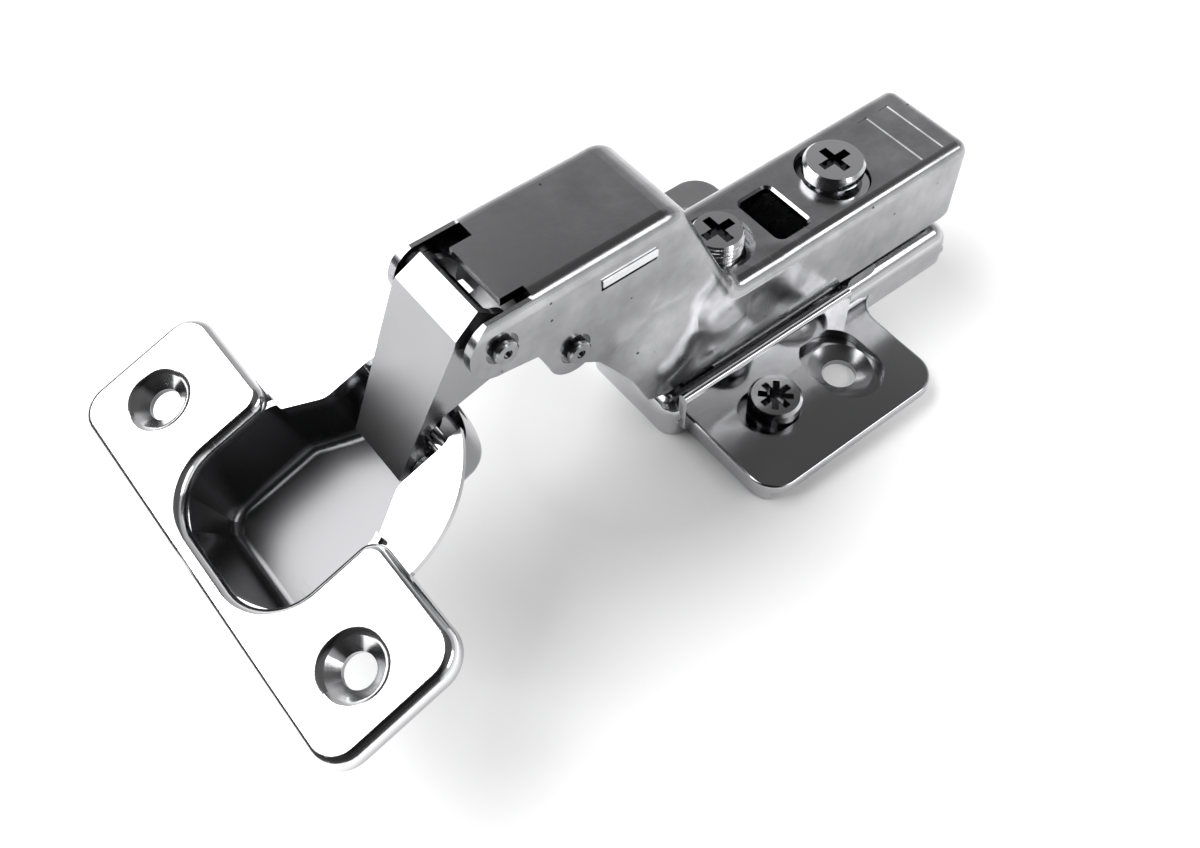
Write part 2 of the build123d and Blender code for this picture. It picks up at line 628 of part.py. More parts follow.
def make_depth_cam():
    """Screw with an eccentric disc that moves the arm along the adapter."""
    head_bottom = SCREW_TOP_Z - DEPTH_CAM_HEAD_T
    disc_bottom = ADAPTER_TOP_Z + SIDE_GAP
    head = post(DEPTH_CAM_X, 0, head_bottom, SCREW_TOP_Z, DEPTH_CAM_HEAD_D)
    head = chamfer(head.faces().sort_by(Axis.Z)[-1].edges(), 0.4)
    cam = head + post(DEPTH_CAM_X, 0, disc_bottom, head_bottom, DEPTH_CAM_NECK_D)
    disc_top = ARM_TOP_Z - DEPTH_CAM_DISC_DROP
    cam += post(DEPTH_CAM_X, DEPTH_CAM_THROW, disc_bottom, disc_top, DEPTH_CAM_DISC_D)
    stem_bottom = ADAPTER_TOP_Z - ADAPTER_T - SIDE_GAP
    cam += post(DEPTH_CAM_X, 0, stem_bottom, disc_bottom, DEPTH_CAM_STEM_D)
    cam += post(DEPTH_CAM_X, 0, stem_bottom - ADAPTER_T / 2, stem_bottom, DEPTH_CAM_STEM_D + 1.6)
    return cam - cross_recess(DEPTH_CAM_X, 0, SCREW_TOP_Z)


# ----------------------------------------------------- clip adapter and lever
def make_clip_adapter():
    """Folded channel inside the arm that hooks onto the plate's table."""
    seat = TABLE_TOP_Z
    walls = polygon(
        (ADAPTER_REAR_X, ARM_BOTTOM_Z),
        (ADAPTER_REAR_X, ADAPTER_TOP_Z - 4),
        (ADAPTER_REAR_X + 4, ADAPTER_TOP_Z),
        (ADAPTER_WEB_FRONT_X, ADAPTER_TOP_Z),
        (BRIDGE_REAR_X - 2, BRIDGE_Z),
        (BRIDGE_FRONT_X, BRIDGE_Z),
        (ADAPTER_FRONT_X, seat + 3),
        (ADAPTER_FRONT_X, seat),
        (FOOT_X - FOOT_L / 2, seat),
        (FOOT_X - FOOT_L, ARM_BOTTOM_Z),
    )
    walls += hook_sketch()
    channel = side_profile(walls, ADAPTER_HALF_W)
    hollow_half_w = ADAPTER_HALF_W - ADAPTER_T
    channel -= Box(10 * THROUGH, 2 * hollow_half_w, 10 * THROUGH)
    web_l = ADAPTER_WEB_FRONT_X - ADAPTER_REAR_X - 4
    web_x = (ADAPTER_WEB_FRONT_X + ADAPTER_REAR_X + 4) / 2
    web = Pos(web_x, 0, ADAPTER_TOP_Z - ADAPTER_T / 2) * Box(web_l, 2 * ADAPTER_HALF_W, ADAPTER_T)
    bridge_l = BRIDGE_FRONT_X - BRIDGE_REAR_X
    bridge_x = (BRIDGE_FRONT_X + BRIDGE_REAR_X) / 2
    bridge = Pos(bridge_x, 0, BRIDGE_Z - ADAPTER_T / 2) * Box(bridge_l, 2 * ADAPTER_HALF_W, ADAPTER_T)
    channel += web + bridge
    foot = Pos(FOOT_X, ADAPTER_HALF_W + 0.5, (seat + ARM_BOTTOM_Z) / 2 - SEAT_GAP) * Box(
        FOOT_L, 1 + ADAPTER_T, ARM_BOTTOM_Z - seat - 3 * SEAT_GAP
    )
    foot = fillet(foot.edges().filter_by(Axis.Y), 0.9)
    channel += mirrored(foot)
    channel -= post(DEPTH_CAM_X, 0, 0, 2 * THROUGH, DEPTH_CAM_STEM_D + 2 * RUN_GAP)
    neck_w = SIDE_SCREW_NECK_D + 2 * SIDE_GAP
    neck_l = neck_w + 2 * (DEPTH_TRAVEL + SIDE_GAP)
    neck_slot = Pos(SIDE_SCREW_X, 0) * SlotOverall(neck_l, neck_w)
    channel -= upright(neck_slot, BRIDGE_Z - 2 * ADAPTER_T, BRIDGE_Z + 1)
    lever_pin = (LEVER_PIN_X, LEVER_PIN_Z)
    return channel - cross_bar(lever_pin, LEVER_PIN_D / 2 + RUN_GAP, ADAPTER_HALF_W + 1)


def hook_sketch():
    """Front hooks: legs through the table with toes under its roof."""
    under = TABLE_TOP_Z - PLATE_T - SIDE_GAP
    bottom = TABLE_TOP_Z - HOOK_DROP
    front = HOOK_X + HOOK_L
    return polygon(
        (HOOK_X, TABLE_TOP_Z + 1),
        (front, TABLE_TOP_Z + 1),
        (front, under),
        (front + HOOK_TOE, under),
        (front + HOOK_TOE, bottom + 0.6),
        (front + HOOK_TOE - 0.6, bottom),
        (HOOK_X, bottom),
    )


def make_release_lever():
    """Sprung lever that locks the adapter under the table's roof."""
    eye = (LEVER_PIN_X, LEVER_PIN_Z)
    under = TABLE_TOP_Z - PLATE_T - SIDE_GAP
    hook_rear = LEVER_HOOK_X - LEVER_T
    cheek = polygon(
        (LEVER_PIN_X - 1.5, LEVER_PIN_Z + LEVER_EYE_R * 0.8),
        (LEVER_PIN_X + 1.5, LEVER_PIN_Z + LEVER_EYE_R * 0.8),
        (LEVER_HOOK_X, TABLE_TOP_Z + 2),
        (LEVER_HOOK_X, under),
        (LEVER_HOOK_X + LEVER_HOOK_TOE, under),
        (LEVER_HOOK_X + LEVER_HOOK_TOE * 0.4, under - LEVER_T),
        (hook_rear, under - LEVER_T),
        (hook_rear, TABLE_TOP_Z + 1.5),
        (LEVER_TAB_X, LEVER_PIN_Z - 3.4),
        (LEVER_TAB_X, LEVER_PIN_Z - 1.8),
    )
    lever = side_profile(cheek + disc_at(eye, LEVER_EYE_R), LEVER_HALF_W)
    inside_half_w = LEVER_HALF_W - LEVER_T
    hollow_top = LEVER_PIN_Z + LEVER_EYE_R + 1
    hollow = polygon(
        (LEVER_PIN_X - 3, hollow_top),
        (LEVER_PIN_X + 4, hollow_top),
        (LEVER_HOOK_X + 2, TABLE_TOP_Z + 1.8),
        (hook_rear + 0.4, TABLE_TOP_Z + 2.7),
        (LEVER_TAB_X + 1, LEVER_PIN_Z - 2.2),
    )
    lever -= side_profile(hollow, inside_half_w)
    return lever - cross_bar(eye, LEVER_PIN_D / 2 + RUN_GAP, LEVER_HALF_W + 1)


def make_lever_spring():
    """Bent leaf between the adapter's roof and the lever's tail."""
    roof = ADAPTER_TOP_Z - ADAPTER_T
    t = LEVER_SPRING_T
    rear_x = ADAPTER_REAR_X + LEVER_SPRING_SETBACK
    tip = (LEVER_TAB_X + LEVER_SPRING_TIP[0], LEVER_PIN_Z - LEVER_SPRING_TIP[1])
    path = Polyline((rear_x + LEVER_SPRING_LEAF, roof - t / 2), (rear_x, roof - t / 2), tip)
    strip = trace(path, t)
    return side_profile(strip, LEVER_SPRING_HALF_W)


def make_lever_pin():
    return cross_bar((LEVER_PIN_X, LEVER_PIN_Z), LEVER_PIN_D / 2, ADAPTER_HALF_W)


# ----------------------------------------------------------------- linkage
CUP_PIN_OUT = from_cup(*CUP_PIVOT_OUT)
CUP_PIN_IN = from_cup(*CUP_PIVOT_IN)


def make_rivet(point):
    """Cross rivet with a small centre dimple in each end."""
    end = ARM_HALF_W + RIVET_PROUD
    rivet = cross_bar(point, RIVET_D / 2, end)
    rims = rivet.faces().filter_by(Axis.Y).edges()
    rivet = chamfer(rims, 0.2)
    dimple = cross_bar(point, RIVET_DIMPLE_D / 2, end + 1) - cross_bar(point, RIVET_D, end - 0.4)
    return rivet - dimple


def face_frame():
    """Plane on the outer link's front face, X across it towards the fold."""
    (ex, ez), (fx, fz) = LINK_END, LINK_FOLD
    run = hypot(fx - ex, fz - ez)
    along = ((fx - ex) / run, 0, (fz - ez) / run)
    normal = (along[2], 0, -along[0])
    return Plane(origin=(ex, 0, ez), x_dir=along, z_dir=normal), run


def link_taper(inset):
    """Prism that narrows the outer link towards the cup."""
    plane, run = face_frame()
    rate = (LINK_UPPER_HALF_W - LINK_LOWER_HALF_W) / run
    start, end = -8.0, run + 4.0
    low = LINK_LOWER_HALF_W + rate * start - inset
    high = LINK_LOWER_HALF_W + rate * (run - 1) - inset
    sketch = polygon(
        (start, -low), (run - 1, -high), (end, -high + 0.6), (end, high - 0.6), (run - 1, high), (start, low)
    )
    return extrude(plane * sketch, amount=THROUGH, both=True)


def web_point(along, back):
    """X and Z of a point up the outer link's face and back from it."""
    (ex, ez), (fx, fz) = LINK_END, LINK_FOLD
    run = hypot(fx - ex, fz - ez)
    ux, uz = (fx - ex) / run, (fz - ez) / run
    return ex + along * ux - back * uz, ez + along * uz + back * ux


def web_foot():
    """How far up the face, and how far back from it, the outer cup pin lies."""
    (ex, ez), (fx, fz) = LINK_END, LINK_FOLD
    run = hypot(fx - ex, fz - ez)
    ux, uz = (fx - ex) / run, (fz - ez) / run
    dx, dz = CUP_PIN_OUT[0] - ex, CUP_PIN_OUT[1] - ez
    return dx * ux + dz * uz, dz * ux - dx * uz


def outer_link_sketch():
    """Side view of the outer link's flanges with their two eyes."""
    px, pz = FRONT_PIVOT
    along, foot_r = web_foot()
    eye = OUTER_LINK_EYE_R
    flange = polygon(
        LINK_TOP,
        LINK_FOLD,
        web_point(OUTER_LINK_TIP, 0),
        web_point(along - foot_r * 0.85, foot_r * 0.55),
        CUP_PIN_OUT,
        web_point(along + foot_r * 0.8, foot_r * 0.8),
        web_point(OUTER_LINK_NECK, LINK_SHEET * 1.3),
        from_cup(LINK_OVER_BORE + 1.9, DOOR_FACE),
        from_cup(LINK_PAST_DOOR, DOOR_FACE),
        (px - 0.9 * eye, pz - 0.9 * eye),
        (px - 0.9 * eye, pz + 0.4 * eye),
    )
    link = flange + disc_at((px, pz), eye) + disc_at(CUP_PIN_OUT, foot_r)
    return link - inner_pin_path()


def inner_pin_path():
    """Ring sector that the inner cup pin sweeps round the outer cup pin."""
    cx, cz = CUP_PIN_OUT
    dx, dz = CUP_PIN_IN[0] - cx, CUP_PIN_IN[1] - cz
    spacing = hypot(dx, dz)
    free = CUP_PIN_D / 2 + SWEEP_GAP
    start = degrees(atan2(dz, dx)) - degrees(atan2(free, spacing))
    end = start + DOOR_SWING + 2 * degrees(atan2(free, spacing))
    ring = disc_at((cx, cz), spacing + free) - disc_at((cx, cz), spacing - free)
    far = 3 * spacing
    fan = [(cx, cz)]
    for step in range(5):
        angle = radians(start + (end - start) * step / 4)
        fan.append((cx + far * cos(angle), cz + far * sin(angle)))
    return ring & polygon(*fan)


def make_outer_link():
    """Folded channel that carries the cup: web in front, flanges behind."""
    plane, run = face_frame()
    outer = side_profile(outer_link_sketch(), THROUGH) & link_taper(0)
    reach = 2 * THROUGH
    behind_web = plane * Pos(run / 2, 0, -LINK_SHEET - reach / 2)
    hollow = behind_web * Box(3 * run, reach, reach) & link_taper(LINK_SHEET)
    tx, tz = LINK_TOP
    fx, fz = LINK_FOLD
    slope = (tz - fz) / (fx - tx)
    roof_z = fz - LINK_SHEET * hypot(1, slope)
    below_roof = polygon(
        (fx - reach, roof_z + slope * reach), (fx + reach, roof_z - slope * reach), (fx - reach, -reach)
    )
    hollow &= side_profile(below_roof, reach)
    link = outer - hollow
    for pin, size in ((FRONT_PIVOT, RIVET_D), (CUP_PIN_OUT, CUP_PIN_D)):
        link -= cross_bar(pin, size / 2 + RUN_GAP, reach)
    return link


def inner_link_sketch():
    """Side view of the arched inner link, with its play slot at the rivet."""
    rx, rz = REAR_PIVOT
    cx, cz = CUP_PIN_IN
    run = hypot(cx - rx, cz - rz)
    ux, uz = (cx - rx) / run, (cz - rz) / run
    eye_r = RIVET_D / 2 + INNER_LINK_SLOT_PLAY + INNER_LINK_SLOT_WALL
    slot_end = (rx + INNER_LINK_SLOT * ux, rz + INNER_LINK_SLOT * uz)
    arch = polygon(
        (rx - 0.6, rz + eye_r),
        *[beyond(REAR_PIVOT, step) for step in INNER_LINK_ARCH],
        (cx + INNER_LINK_EYE_R * 0.75, cz + INNER_LINK_EYE_R * 0.66),
        (cx - INNER_LINK_EYE_R * 0.9, cz - INNER_LINK_EYE_R * 0.4),
        from_cup(LINK_OVER_BORE + SWEEP_GAP, DOOR_FACE + 1),
        from_cup(LINK_OVER_BORE, DOOR_FACE),
        from_cup(LINK_PAST_DOOR, DOOR_FACE),
        (rx + 4.0, rz - eye_r * 0.5),
    )
    solid_ends = disc_at((rx, rz), eye_r) + disc_at(slot_end, eye_r)
    return arch + solid_ends + disc_at((cx, cz), INNER_LINK_EYE_R)


def make_inner_link():
    """Arched channel that steers the cup; its rivet eye is the open pivot."""
    rx, rz = REAR_PIVOT
    cx, cz = CUP_PIN_IN
    angle = degrees(atan2(cz - rz, cx - rx))
    link = side_profile(inner_link_sketch(), INNER_LINK_HALF_W)
    inside = INNER_LINK_HALF_W - SHEET
    web = INNER_LINK_WEB_T
    rear, crest, front = [beyond(REAR_PIVOT, step) for step in INNER_LINK_ARCH]
    hollow = polygon(
        (rx - 8, rz + web),
        beyond(rear, (0, -web * 1.3)),
        beyond(crest, (-web * 0.25, -web * 1.2)),
        beyond(front, (-web * 0.8, -web)),
        (cx + 4, cz - 1),
        (cx + 4, cz - 8),
        (rx - 8, rz - 8),
    )
    link -= side_profile(hollow, inside)
    half_play = RIVET_D / 2 + INNER_LINK_SLOT_PLAY
    length = INNER_LINK_SLOT + 2 * half_play
    middle = Pos(rx, rz) * Rot(0, 0, angle) * Pos(INNER_LINK_SLOT / 2, 0)
    link -= side_profile(middle * SlotOverall(length, 2 * half_play), THROUGH)
    link -= side_profile(web_relief(), THROUGH)
    return link - cross_bar(CUP_PIN_IN, CUP_PIN_D / 2 + RUN_GAP, THROUGH)


def web_relief():
    """Side view of the space that the outer link's web takes when open."""
    back = LINK_SHEET + SEAT_GAP
    high = OUTER_LINK_NECK * 3
    return polygon(web_point(-5, back), web_point(high, back), web_point(high, -5), web_point(-5, -5))


def sleeve_pair(point, bore_d, inner_y, outer_y):
    """Two spacer sleeves on a cross pin, one on each side."""
    middle = (inner_y + outer_y) / 2
    length = outer_y - inner_y
    ring = Circle(bore_d / 2 + SLEEVE_WALL) - Circle(bore_d / 2 + RUN_GAP)
    sleeve = extrude(Plane.XZ * (Pos(*point) * ring), amount=length / 2, both=True)
    return Pos(0, middle, 0) * sleeve + Pos(0, -middle, 0) * sleeve


def link_half_width_at(point):
    """Half width of the outer link where a cross pin passes it."""
    plane, run = face_frame()
    local = plane.to_local_coords(Vector(point[0], 0, point[1]))
    rate = (LINK_UPPER_HALF_W - LINK_LOWER_HALF_W) / run
    return LINK_LOWER_HALF_W + rate * min(local.X, run - 1)


# ----------------------------------------------------------- closing spring
SEAT_TOP_Z = SPRING_SLOT_Z + SPRING_SLOT_H / 2 - SIDE_GAP


def make_spring_seat():
    """Plate across the arm whose ears stand in the side slots."""
    length = SPRING_SLOT_L - 2 * SIDE_GAP
    width = 2 * (ARM_HALF_W + SEAT_EAR)
    return Pos(SPRING_SLOT_X, 0, SEAT_TOP_Z - SEAT_T / 2) * Box(length, width, SEAT_T)


def make_closing_spring():
    """Leaf spring folded round its seat, its nose above the inner link's eye."""
    top_z = SEAT_TOP_Z + SIDE_GAP + SPRING_T / 2
    nose_end, nose_bottom = beyond(REAR_PIVOT, SPRING_NOSE)
    nose_r = (top_z - nose_bottom - SPRING_T / 2) / 2
    nose_x = nose_end - nose_r - SPRING_T / 2
    low_z = top_z - 2 * nose_r
    path = Line((SPRING_REAR_X, top_z), (nose_x, top_z))
    path += CenterArc((nose_x, top_z - nose_r), nose_r, -90, 180)
    path += Line((nose_x, low_z), (SPRING_SLOT_X, low_z + SPRING_LEAF_RISE))
    return side_profile(trace(path, SPRING_T), SPRING_HALF_W)


# --------------------------------------------------------------------- cup
def tub_plan(draft, front_r):
    """Plan of the cavity: wide in front, a neck for the links behind."""
    wide = TUB_HALF_W - draft
    neck = TUB_NECK_HALF_W - draft / 2
    half_outline = [
        (TUB_FRONT - draft, wide),
        (TUB_WIDE_REAR, wide),
        (TUB_NECK_FRONT, neck),
        (-CUP_BORE_D, neck),
    ]
    other_half = [(x, -y) for x, y in reversed(half_outline)]
    plan = polygon(*half_outline, *other_half)
    plan = fillet([v for v in plan.vertices() if v.X > 0], front_r) & Circle(TUB_REAR_R)
    return fillet([v for v in plan.vertices() if v.X < 0], TUB_CORNER_R)


def flange_plan():
    length = FLANGE_FRONT - FLANGE_REAR
    middle = (FLANGE_FRONT + FLANGE_REAR) / 2
    return Pos(middle, 0) * RectangleRounded(length, FLANGE_SPAN, FLANGE_CORNER_R)


def mouth_plan():
    """Plan of the flange's open mouth, which runs out behind the wings."""
    length = 2 * TUB_FRONT
    mouth = Pos(TUB_FRONT - length / 2, 0) * Rectangle(length, 2 * TUB_HALF_W)
    return fillet([v for v in mouth.vertices() if v.X > 0], TUB_FRONT_R)


def flange_prism(inset, bottom, top):
    """Wings and front bar of the flange as a straight-sided block."""
    plan = flange_plan()
    mouth = mouth_plan()
    if inset > 0:
        plan = offset(plan, -inset)
        mouth = offset(mouth, inset)
    ring = plan - mouth
    rear = FLANGE_REAR + inset
    wing_tips = [v for v in ring.vertices() if abs(v.X - rear) < 0.01 and abs(v.Y) < TUB_HALF_W + 2]
    return upright(fillet(wing_tips, WING_TIP_R), bottom, top)


def make_flange():
    """Flange shell: rolled rim outside, hollow below."""
    outer = flange_prism(0, -FLANGE_RIM, 0)
    outer = fillet(outer.faces().sort_by(Axis.Z)[-1].edges(), FLANGE_EDGE_R)
    return outer - flange_prism(FLANGE_T, -FLANGE_RIM - 1, -FLANGE_T)


def make_tub(grow, top, depth):
    """Drafted tub with a rounded floor; grow is the sheet outside the cavity."""
    draft_run = (depth - top) * tan(radians(TUB_DRAFT))
    upper_plan = tub_plan(0, TUB_FRONT_R)
    lower_plan = tub_plan(draft_run, TUB_CORNER_R)
    if grow > 0:
        upper_plan = offset(upper_plan, grow)
        lower_plan = offset(lower_plan, grow)
    tub = loft([Pos(0, 0, -top) * upper_plan, Pos(0, 0, -depth) * lower_plan])
    floor_edges = tub.faces().sort_by(Axis.Z)[0].edges()
    return fillet(floor_edges, TUB_FLOOR_R + grow)


def make_cup():
    """Drawn cup: winged flange, Ø35 drum ledge and tub in one pressing."""
    cup = make_flange()
    drum_r = CUP_BORE_D / 2 - CUP_BORE_FIT
    cup += upright(Circle(drum_r), -DRUM_LEDGE - DRUM_LEDGE_T, -DRUM_LEDGE)
    cup += make_tub(CUP_SHEET, FLANGE_EDGE_R, CUP_DEPTH)
    # behind the wings the wall ends at the ledge
    behind = CUP_BORE_D
    cup -= Pos(FLANGE_REAR - behind / 2, 0, 0) * Box(behind, 2 * behind, 2 * DRUM_LEDGE)
    cup -= make_tub(0, FLANGE_EDGE_R, CUP_DEPTH - CUP_SHEET)
    cup -= upright(tub_plan(0, TUB_FRONT_R), -FLANGE_EDGE_R, 1)
    cup -= ledge_rounding()
    for side in (-1, 1):
        cup = countersink(cup, side * FLANGE_HOLE_PITCH / 2)
    rear = NOTCH_FRONT - CUP_BORE_D / 2
    for half_w, depth in ((NOTCH_HALF_W, NOTCH_DEPTH), (NECK_NOTCH_HALF_W, NECK_NOTCH_DEPTH)):
        cup -= Pos(rear, 0, -depth / 2) * Box(CUP_BORE_D, 2 * half_w, depth)
    cup = CUP_PLANE * cup
    for pin in (CUP_PIN_OUT, CUP_PIN_IN):
        cup -= cross_bar(pin, CUP_PIN_D / 2 + RUN_GAP, CUP_BORE_D)
    return cup


def ledge_rounding():
    """Cutter that breaks the ledge's inner edge, where the links pass over it."""
    plan = tub_plan(0, TUB_FRONT_R)
    rings = [Pos(0, 0, -DRUM_LEDGE - down) * offset(plan, out) for out, down in LEDGE_LIP]
    behind = CUP_BORE_D
    return loft(rings, ruled=True) & Pos(FLANGE_REAR - behind / 2, 0) * Box(behind, behind, behind)


def countersink(cup, y):
    """Dished screw hole pressed into a wing, with a short straight collar."""
    screw_r = FLANGE_SCREW_D / 2
    head_r = COUNTERSINK_D / 2
    hole = Pos(FLANGE_HOLE_SETBACK, y)
    dish = hole * Pos(0, 0, -COUNTERSINK_DEPTH / 2)
    cup += dish * Cone(screw_r + FLANGE_T, head_r + FLANGE_T * 0.6, COUNTERSINK_DEPTH)
    collar_l = COUNTERSINK_DEPTH + SCREW_COLLAR_L
    cup += hole * Pos(0, 0, -collar_l / 2) * Cylinder(screw_r + FLANGE_T, collar_l)
    cup -= dish * Cone(screw_r, head_r, COUNTERSINK_DEPTH)
    cup -= hole * Cylinder(screw_r, THROUGH)
    rim = [e for e in cup.edges().filter_by(GeomType.CIRCLE) if abs(e.radius - head_r) < 0.01]
    rim = [e for e in rim if abs(e.arc_center.Y - y) < 0.01 and abs(e.arc_center.Z) < 0.01]
    return fillet(rim, COUNTERSINK_LIP_R)


def make_cup_pin(point):
    bore_wall = TUB_NECK_HALF_W + CUP_SHEET
    return cross_bar(point, CUP_PIN_D / 2, bore_wall)


# ------------------------------------------------------------------- export
NECK_INSIDE = TUB_NECK_HALF_W - 1.8
LINK_AT_RIVET = link_half_width_at(FRONT_PIVOT)
LINK_AT_PIN = link_half_width_at(CUP_PIN_OUT)

save(make_base_strip(), "base_strip")
save(make_mounting_plate(), "mounting_plate")
save(make_height_cam(), "height_cam")
save(make_clip_adapter(), "clip_adapter")
save(make_release_lever(), "release_lever")
save(make_lever_pin(), "lever_pin")
save(make_lever_spring(), "lever_spring")
save(make_arm(), "arm")
save(make_side_screw(), "side_screw")
save(make_depth_cam(), "depth_cam")
save(make_rivet(FRONT_PIVOT), "front_rivet")
save(make_rivet(REAR_PIVOT), "rear_rivet")
save(make_spring_seat(), "spring_seat")
save(make_closing_spring(), "closing_spring")
save(make_outer_link(), "outer_link")
save(make_inner_link(), "inner_link")
save(make_cup(), "cup")
save(make_cup_pin(CUP_PIN_OUT), "outer_cup_pin")
save(make_cup_pin(CUP_PIN_IN), "inner_cup_pin")
wall_inside = ARM_HALF_W - SHEET - SIDE_GAP
save(sleeve_pair(FRONT_PIVOT, RIVET_D, LINK_AT_RIVET + SIDE_GAP, wall_inside), "front_washers")
save(sleeve_pair(REAR_PIVOT, RIVET_D, INNER_LINK_HALF_W + SIDE_GAP, wall_inside), "rear_sleeves")
save(sleeve_pair(CUP_PIN_OUT, CUP_PIN_D, LINK_AT_PIN + SEAT_GAP, NECK_INSIDE), "cup_sleeves")
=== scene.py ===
"""Looks of a concealed cup hinge: nickel-plated sheet steel on a white studio floor."""

import math

import bmesh
import bpy
from mathutils import Matrix, Vector


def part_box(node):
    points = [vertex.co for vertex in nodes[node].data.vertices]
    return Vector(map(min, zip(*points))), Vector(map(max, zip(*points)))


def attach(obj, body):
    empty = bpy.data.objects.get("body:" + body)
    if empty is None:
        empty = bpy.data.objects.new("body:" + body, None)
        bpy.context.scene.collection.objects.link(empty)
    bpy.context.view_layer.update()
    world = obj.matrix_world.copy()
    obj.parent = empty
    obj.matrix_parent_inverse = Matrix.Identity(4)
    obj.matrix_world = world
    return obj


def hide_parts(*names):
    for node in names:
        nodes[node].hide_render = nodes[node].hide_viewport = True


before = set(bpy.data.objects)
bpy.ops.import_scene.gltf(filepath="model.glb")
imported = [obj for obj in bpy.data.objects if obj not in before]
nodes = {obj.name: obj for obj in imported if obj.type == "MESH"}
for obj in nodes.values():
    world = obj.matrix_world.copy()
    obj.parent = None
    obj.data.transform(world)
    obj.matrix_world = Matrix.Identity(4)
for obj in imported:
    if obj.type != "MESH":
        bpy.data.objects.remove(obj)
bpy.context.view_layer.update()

# ---------------------------------------------------------------- camera
# The hinge lies open on its mounting plate, seen from close by and from above,
# over the near corner of its cup. The three directions are the camera's own axes.
camera = bpy.data.cameras.new("camera")
camera.lens = 37.84
camera.sensor_width = 36.0
camera.clip_start = 0.005
camera.clip_end = 20.0
viewer = bpy.data.objects.new("camera", camera)
stand = Vector((0.095790, 0.083286, 0.146531))
side = Vector((-0.78600, 0.61819, -0.00718))
top = Vector((-0.50748, -0.63852, 0.57858))
back = Vector((0.35308, 0.45841, 0.81560))
turn = Matrix((side, top, back)).transposed().to_4x4()
viewer.matrix_world = Matrix.Translation(stand) @ turn
bpy.context.scene.collection.objects.link(viewer)
bpy.context.scene.camera = viewer

# ---------------------------------------------------------------- base strip
# A flat strip of cold-rolled steel, 1.9 mm thick, that two screws hold to the cabinet.
# It is barrel plated with nickel: bright, with the faint dapple of parts that tumbled.
PER_METRE = 1000        # millimetres; a pattern's scale is this over its real size
GRAIN_DEPTH = 0.00002   # metres; rolled grain is finer and shallower, and would not show


def linear(code):
    """An sRGB hex colour as linear RGBA."""
    parts = [int(code[i:i + 2], 16) / 255 for i in (0, 2, 4)]
    return [p / 12.92 if p <= 0.04045 else ((p + 0.055) / 1.055) ** 2.4 for p in parts] + [1.0]


def add(material, kind, settings, links):
    """Adds a shader node, sets its values and joins its inputs."""
    made = material.node_tree.nodes.new("ShaderNode" + kind)
    for name, value in settings.items():
        if isinstance(name, int) or name in made.inputs:
            made.inputs[name].default_value = value
        else:
            setattr(made, name, value)
    for name, source in links.items():
        material.node_tree.links.new(source, made.inputs[name])
    return made


def begin(name):
    """An empty node material and the place on the piece that its patterns follow."""
    material = bpy.data.materials.new(name)
    material.use_nodes = True
    material.node_tree.nodes.clear()
    return material, add(material, "TexCoord", {}, {}).outputs["Object"]


def dress(name, material):
    """Puts one material on a CAD node."""
    mesh = nodes[name].data
    mesh.materials.clear()
    mesh.materials.append(material)


def plated(name, bright, dull, rough, patch_mm, grain_mm, grain):
    """Nickel on pressed sheet: its lustre drifts in soft patches over a fine grain."""
    material, place = begin(name)
    cloud = add(material, "TexNoise", {"Scale": PER_METRE / patch_mm, "Detail": 3.0},
                {"Vector": place})
    drift = add(material, "MapRange", {"From Min": 0.25, "From Max": 0.75},
                {"Value": cloud.outputs["Fac"]})
    tint = add(material, "MixRGB", {"Color1": linear(dull), "Color2": linear(bright)},
               {"Fac": drift.outputs["Result"]})
    # where the nickel is brighter it is smoother too
    sheen = add(material, "MapRange", {"To Min": rough * 1.3, "To Max": rough * 0.8},
                {"Value": drift.outputs["Result"]})
    rolled = add(material, "TexNoise", {"Scale": PER_METRE / grain_mm, "Detail": 2.0},
                 {"Vector": place})
    relief = add(material, "Bump", {"Strength": grain, "Distance": GRAIN_DEPTH},
                 {"Height": rolled.outputs["Fac"]})
    shader = add(material, "BsdfPrincipled", {"Metallic": 1.0},
                 {"Base Color": tint.outputs["Color"], "Roughness": sheen.outputs["Result"],
                  "Normal": relief.outputs["Normal"]})
    add(material, "OutputMaterial", {}, {"Surface": shader.outputs["BSDF"]})
    return material


dress("base_strip", plated("barrel_nickel_on_strip", "AEAEB0", "969698",
                           rough=0.18, patch_mm=3.0, grain_mm=0.30, grain=0.12))

# ---------------------------------------------------------------- mounting plate
# A cross plate of 1.4 mm sheet: a drawn table, two wings and a folded rail on each side.
# Nickel over rolled sheet stays satin, so the wings hold a dark, slightly clouded room.
dress("mounting_plate", plated("satin_nickel_on_plate", "C8C8CA", "B6B6B8",
                               rough=0.14, patch_mm=5.0, grain_mm=0.20, grain=0.12))


